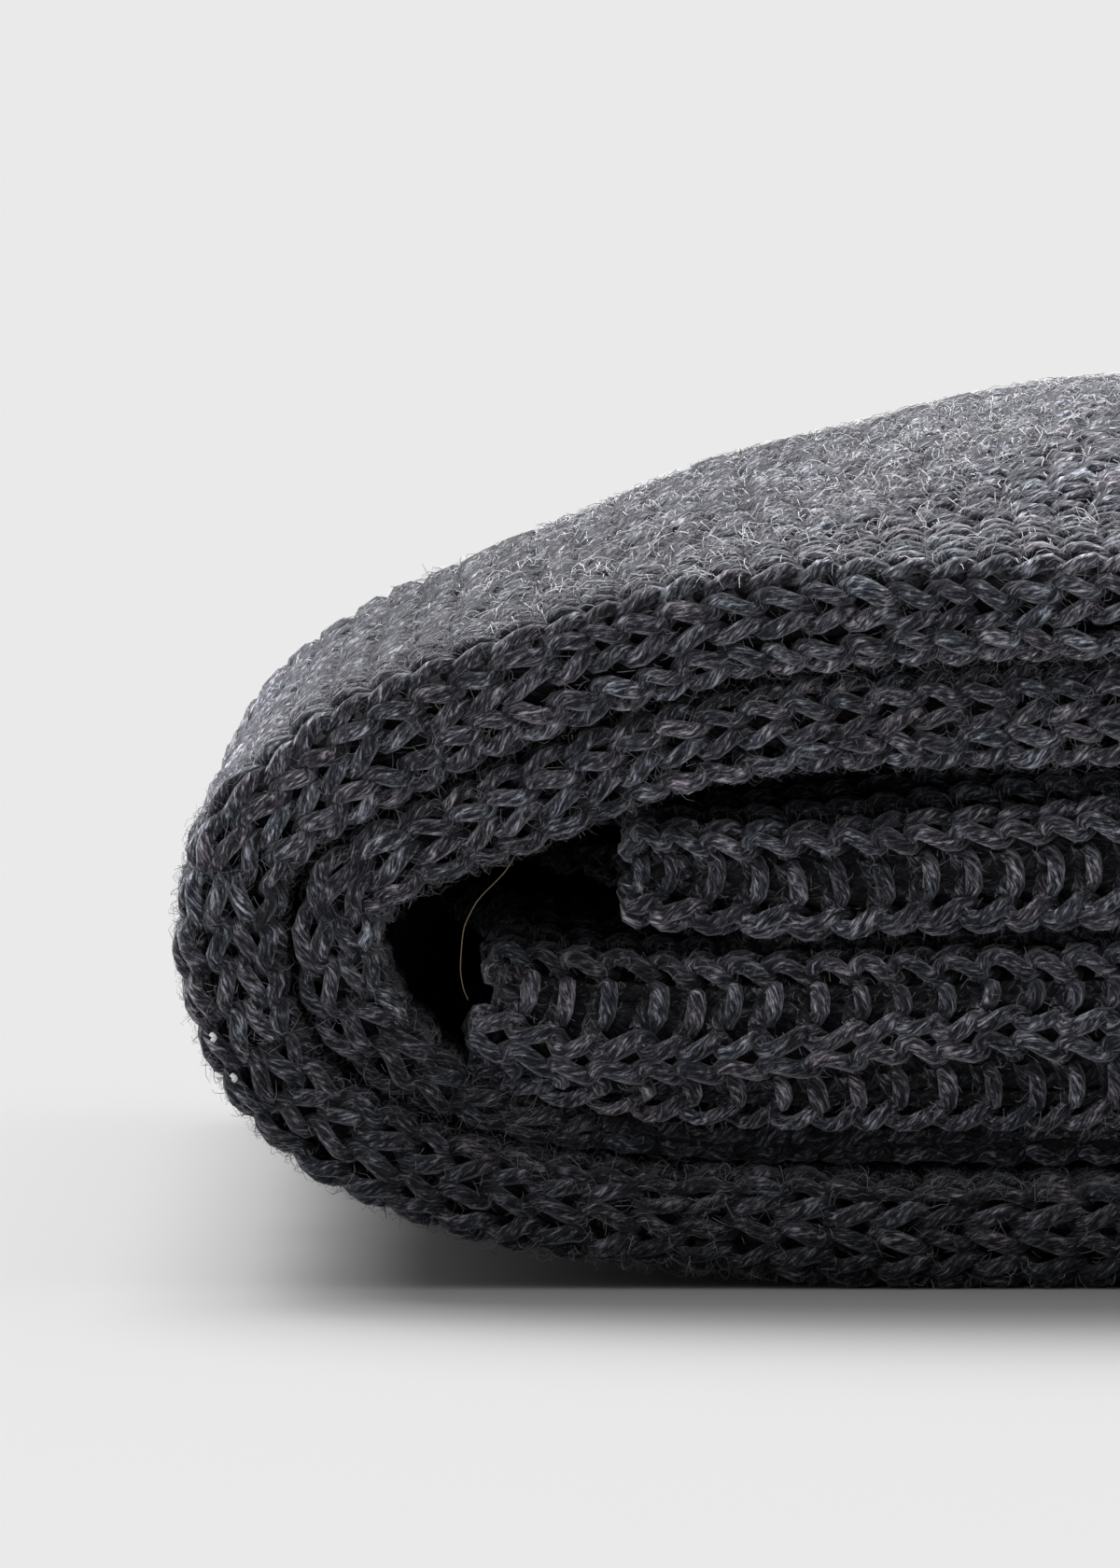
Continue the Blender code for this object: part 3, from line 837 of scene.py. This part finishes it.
def cells(sock, ribbed):
    """Every stitch's row and column, and where it is."""
    tucked = sock.wall / 2 * (math.pi - 1) + TUCK
    first, last = (-tucked, RIB_LENGTH) if ribbed else (RIB_LENGTH, sock.length - TOE_GAP)
    rows = np.arange(math.ceil(sock.row(first)), math.floor(sock.row(last)))
    columns = np.arange(2 * RIB_COUNT if ribbed else PLAIN_COUNT)
    row, column = (grid.ravel() for grid in np.meshgrid(rows, columns, indexing="ij"))
    s = sock.distance(row + 0.5)
    u = sock.share(column, s, ribbed) % 1.0
    around = sock.around(np.maximum(s, 0))
    return {
        "row": row,
        "column": column,
        "s": s,
        "outside": u < 0.5,
        "view": sock.point(s, u)[:, 0] < VIEW_X,
        "near": np.minimum(u, 1 - u) * around,
        "far": np.abs(u - 0.5) * around,
    }


def chosen(found, mask):
    return found["row"][mask], found["column"][mask]


def at_edges(found, band):
    """Which stitches lie within the band at either side edge."""
    return (found["near"] < band) | (found["far"] < band)


def dress_cuff(sock, reach):
    """The ribs, in whole loops as far in as reach says for the upper and the lower face."""
    found = cells(sock, True)
    close = (found["near"] < np.where(found["outside"], *reach)) & found["view"]
    rest = ~close & (at_edges(found, EDGE_BAND) | (found["s"] < LIP_BAND))
    return [
        knit(f"{sock.name}_close_ribs", sock, chosen(found, close), True, CLOSE_DETAIL),
        knit(f"{sock.name}_plain_ribs", sock, chosen(found, rest), True, PLAIN_DETAIL),
    ]


def dress_outer():
    found = cells(OUTER, False)
    s, outside, view = found["s"], found["outside"], found["view"]
    close = view & (found["near"] < OUTER_CLOSE) & (s > CLOSE_FROM)
    above = view & outside & ~close & (s > OUTER_TOP_FROM)
    edges = ~close & ~above & (at_edges(found, EDGE_BAND) | (s > OUTER.length - TOE_TIP))
    shown = (s > OUTER_DRESSED_FROM) | ((s > OUTER_LEG[0]) & (s < OUTER_LEG[1]))
    rest = ~close & ~above & ~edges & outside & shown
    made = [
        knit("outer_close_stitches", OUTER, chosen(found, close), False, CLOSE_DETAIL, CLOSE_STRAY),
        knit("outer_top_stitches", OUTER, chosen(found, above), False, TOP_DETAIL, TOP_STRAY),
        knit_legs("outer_edge_stitches", OUTER, chosen(found, edges)),
        knit_legs("outer_plain_stitches", OUTER, chosen(found, rest)),
    ]
    return made + dress_cuff(OUTER, OUTER_RIBS_CLOSE)


def dress_inner():
    found = cells(INNER, False)
    s, outside = found["s"], found["outside"]
    reach = np.where(outside | (s < INNER_TURN), *INNER_CLOSE)
    close = found["view"] & (s > CLOSE_FROM) & (found["near"] < reach)
    toe = s > INNER.length - np.where(outside, INNER_TOE, TOE_TIP)
    rest = ~close & (at_edges(found, INNER_EDGE_BAND) | toe)
    made = [
        knit("inner_close_stitches", INNER, chosen(found, close), False, CLOSE_DETAIL, CLOSE_STRAY),
        knit_legs("inner_plain_stitches", INNER, chosen(found, rest)),
    ]
    return made + dress_cuff(INNER, INNER_RIBS_CLOSE)


def top_places(wanted, low_x, high_x):
    """Random places on the outer sock's top, between two x, in tufts and fewer toward the left bend."""
    s = rng.uniform(FELT_FROM, OUTER.length - 3, wanted * 8)
    u = rng.uniform(*FELT_ROUND, wanted * 8)
    places = OUTER.point(s, u)
    x, y = places[:, 0], places[:, 1]
    tufts = 0.55 + 0.5 * OUTER.plump(x * 0.55 + 31, y * 0.35) + 0.4 * OUTER.along(x * 0.16, y * 0.12 + 9)
    share = np.clip((x - FELT_LEFT) / FELT_FADE, 0.0, 1) ** 1.5 * np.clip(tufts, 0.1, 1)
    keep = (x > low_x) & (x < high_x) & (rng.uniform(0, 1, len(s)) < share)
    return s[keep][:wanted], u[keep][:wanted]


def edge_places(wanted, sock, low_s, high_s, width):
    """Random places round a sock's near edge."""
    s = rng.uniform(low_s, high_s, wanted)
    u = rng.uniform(-width, width, wanted) / sock.around(s)
    return s, u % 1.0


# ---------------------------------------------------------------- the pair

FELT_FROM = 280.0  # s from which the top is felted
FELT_ROUND = (0.012, 0.495)  # u of the felted part
FELT_LEFT = -68.0  # x where the felt begins
FELT_FADE = 22.0  # and how far on it is full

TOP_FIBRES = (
    # name, how many, x from and to, how long, how high, how wide, material
    ("outer_top_fuzz", 9500, (-74.0, -24.0), (0.5, 1.7), (0.02, 0.34), 0.045, FIBRE),
    ("outer_grey_fuzz", 5000, (-74.0, -24.0), (0.5, 1.7), (0.02, 0.30), 0.045, GREY_FIBRE),
    ("outer_far_fuzz", 3000, (-24.0, 75.0), (1.0, 3.0), (0.05, 0.6), 0.08, FIBRE),
)

EDGE_LIFT = (0.08, 0.40)
EDGE_FIBRE_WIDTH = 0.03
OUTER_EDGE_FIBRES = (
    # name, how many, s from and to, how far from the edge, how long, material
    ("outer_edge_fuzz", 4500, (225.0, 330.0), 6.0, (0.3, 1.0), GREY_FIBRE),
    ("outer_edge_dark", 1500, (225.0, 330.0), 6.0, (0.4, 1.2), DARK_FIBRE),
    ("outer_cuff_fuzz", 500, (0.5, 24.0), 5.0, (0.2, 0.55), GREY_FIBRE),
)
INNER_EDGE_FIBRES = (
    ("inner_edge_fuzz", 3500, (245.0, 330.0), 5.0, (0.3, 1.0), GREY_FIBRE),
    ("inner_edge_dark", 1500, (245.0, 330.0), 5.0, (0.4, 1.2), DARK_FIBRE),
    ("inner_cuff_fuzz", 1000, (0.5, 30.0), 8.0, (0.2, 0.55), GREY_FIBRE),
)

HAIR_WIDTH = 0.04
LINT_WIDTH = 0.22

# A pale hair across the mouth of the gap, and two specks of lint on the left bend: (x, y, z)
HAIR = (
    (-58.6, -43.6, 18.6),
    (-59.3, -44.5, 17.4),
    (-60.6, -45.2, 16.0),
    (-61.1, -45.5, 14.8),
    (-61.2, -45.5, 13.4),
    (-61.1, -45.2, 12.6),
    (-60.9, -44.4, 12.0),
)
LINT = (
    ((-71.50, -45.2, 10.65), (-71.35, -45.3, 10.5), (-71.45, -45.3, 10.35)),
    ((-70.65, -45.1, 8.95), (-70.5, -45.2, 8.8), (-70.6, -45.2, 8.7)),
)


def strand(name, places, width, material):
    """One fibre on a smooth path through the places."""
    places = np.array(places)
    knots = np.arange(len(places))
    at = np.linspace(0, knots[-1], 6 * len(places))
    line = np.stack([smooth(knots, places[:, axis], at) for axis in range(3)], axis=-1)[None]
    normals = np.broadcast_to([0.0, -1.0, 0.0], line.shape)
    half = np.full(line.shape[:2], width / 2)
    points, quads, uvs = tubes(line, normals, half, half, 5, np.zeros(1))
    return add_mesh(name, points, quads, uvs, np.zeros(len(points)), material)


def edge_fibres(sock, table):
    """The loose fibres of one of the tables, on a sock's near edge."""
    made = []
    for name, wanted, along, band, reach, material in table:
        places = edge_places(wanted, sock, *along, band)
        made.append(fuzz(name, sock, places, reach, EDGE_LIFT, EDGE_FIBRE_WIDTH, material))
    return made


outer = shell("outer_sock_cloth", OUTER)
inner = shell("inner_sock_cloth", INNER)
outer_made = dress_outer()
inner_made = dress_inner()

for name, wanted, along, reach, lift, width, material in TOP_FIBRES:
    outer_made.append(fuzz(name, OUTER, top_places(wanted, *along), reach, lift, width, material))
outer_made += edge_fibres(OUTER, OUTER_EDGE_FIBRES)
for number, places in enumerate(LINT):
    outer_made.append(strand(f"lint_{number}", places, LINT_WIDTH, LINT_FIBRE))
inner_made.append(strand("stray_hair", HAIR, HAIR_WIDTH, HAIR_FIBRE))
inner_made += edge_fibres(INNER, INNER_EDGE_FIBRES)

PAIR = (
    (OUTER, outer, outer_made, "outer_sock"),
    (INNER, inner, inner_made, "inner_sock"),
)
for sock, cloth, made, node in PAIR:
    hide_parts(node)
    for piece in (cloth, *made):
        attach(piece, "root")
    flat = (sock.around(sock.length / 2) * MM, sock.length * MM)

# ---------------------------------------------------------------- the floor, light and camera

BACKGROUND = 0.8228  # brightness of the backdrop and of the open floor
KEYS = (
    # to the left of straight behind; elevation; angle across; what it adds to the floor's brightness
    (10.0, 50.0, 34.0, 0.95),
    (42.0, 50.0, 34.0, 0.95),
)
FLOOR_SIZE = 30.0
ROOM = (
    # toward, from and to that share of it, brightness at each against the backdrop's
    ((0.0, 1.0, 0.0), -0.7, 0.0, 0.05, 1.0),
    ((0.0, 0.0, 1.0), 0.45, 1.0, 0.0, 0.40),
    ((-0.86, -0.1, 0.5), 0.35, 1.0, 0.0, 0.80),
)

floor_data = bpy.data.meshes.new("floor")
corners = [(-FLOOR_SIZE, -FLOOR_SIZE, 0), (FLOOR_SIZE, -FLOOR_SIZE, 0), (FLOOR_SIZE, FLOOR_SIZE, 0)]
floor_data.from_pydata([*corners, (-FLOOR_SIZE, FLOOR_SIZE, 0)], [], [(0, 1, 2, 3)])
sky_x, sky_y = np.meshgrid(np.linspace(-1, 1, 401), np.linspace(-1, 1, 401))
seen = sky_x**2 + sky_y**2 < 1
sky_z = np.sqrt(np.clip(1 - sky_x**2 - sky_y**2, 0, 1))
room = 0.0 * sky_x
for toward, low, high, least, most in ROOM:
    facing = sky_x * toward[0] + sky_y * toward[1] + sky_z * toward[2]
    room = room + least + (most - least) * np.clip((facing - low) / (high - low), 0, 1)
shade = BACKGROUND / (BACKGROUND * room[seen].mean() + sum(key[3] for key in KEYS))
floor_look = Nodes("floor")
diffuse = floor_look.add("ShaderNodeBsdfDiffuse")
diffuse.inputs["Color"].default_value = (shade, shade, shade, 1.0)
floor_look.join(diffuse.outputs[0], floor_look.tree.nodes["Material Output"].inputs[0])
link("floor", floor_data, floor_look.material)

world = bpy.data.worlds.new("studio")
world.use_nodes = True
sky = world.node_tree
direction = sky.nodes.new("ShaderNodeTexCoord")
strength = None
for toward, *values in ROOM:
    facing = sky.nodes.new("ShaderNodeVectorMath")
    facing.operation = "DOT_PRODUCT"
    facing.inputs[1].default_value = toward
    sky.links.new(direction.outputs["Generated"], facing.inputs[0])
    fade = sky.nodes.new("ShaderNodeMapRange")
    for socket, value in zip(fade.inputs[1:5], values):
        socket.default_value = value
    sky.links.new(facing.outputs["Value"], fade.inputs["Value"])
    if strength is None:
        strength = fade.outputs[0]
    else:
        both = sky.nodes.new("ShaderNodeMath")
        sky.links.new(strength, both.inputs[0])
        sky.links.new(fade.outputs[0], both.inputs[1])
        strength = both.outputs[0]
scaled = sky.nodes.new("ShaderNodeMath")
scaled.operation = "MULTIPLY"
scaled.inputs[1].default_value = BACKGROUND
sky.links.new(strength, scaled.inputs[0])
sky.nodes["Background"].inputs["Color"].default_value = (1.0, 1.0, 1.0, 1.0)
sky.links.new(scaled.outputs[0], sky.nodes["Background"].inputs["Strength"])
bpy.context.scene.world = world

for to_left, elevation, angle, brightness in KEYS:
    key = bpy.data.lights.new("key", "SUN")
    key.angle = math.radians(angle)
    key.energy = brightness * math.pi / math.sin(math.radians(elevation))
    key_piece = bpy.data.objects.new("key", key)
    key_piece.rotation_euler = (-math.radians(90 - elevation), 0.0, math.radians(to_left))
    bpy.context.scene.collection.objects.link(key_piece)

CAMERA_X = -57.1
CAMERA_BACK = 500.0  # from the near side of the stack
CAMERA_HEIGHT = 50.0
AIM_HEIGHT = 20.96
PIXELS_PER_MM = 26.0
PICTURE_HEIGHT = 1680
SENSOR_HEIGHT = 24.0

camera_data = bpy.data.cameras.new("camera")
camera_data.sensor_fit = "VERTICAL"
camera_data.sensor_height = SENSOR_HEIGHT
drop = CAMERA_HEIGHT - AIM_HEIGHT
camera_data.lens = SENSOR_HEIGHT * PIXELS_PER_MM * math.hypot(CAMERA_BACK, drop) / PICTURE_HEIGHT
camera_data.clip_start = 0.01
camera_data.clip_end = 200.0
camera = bpy.data.objects.new("camera", camera_data)
camera.location = (CAMERA_X * MM, -(HALF_DEPTH + CAMERA_BACK) * MM, CAMERA_HEIGHT * MM)
camera.rotation_euler = (math.pi / 2 - math.atan2(drop, CAMERA_BACK), 0.0, 0.0)
bpy.context.scene.collection.objects.link(camera)
bpy.context.scene.camera = camera
bpy.context.scene.view_settings.view_transform = "Standard"
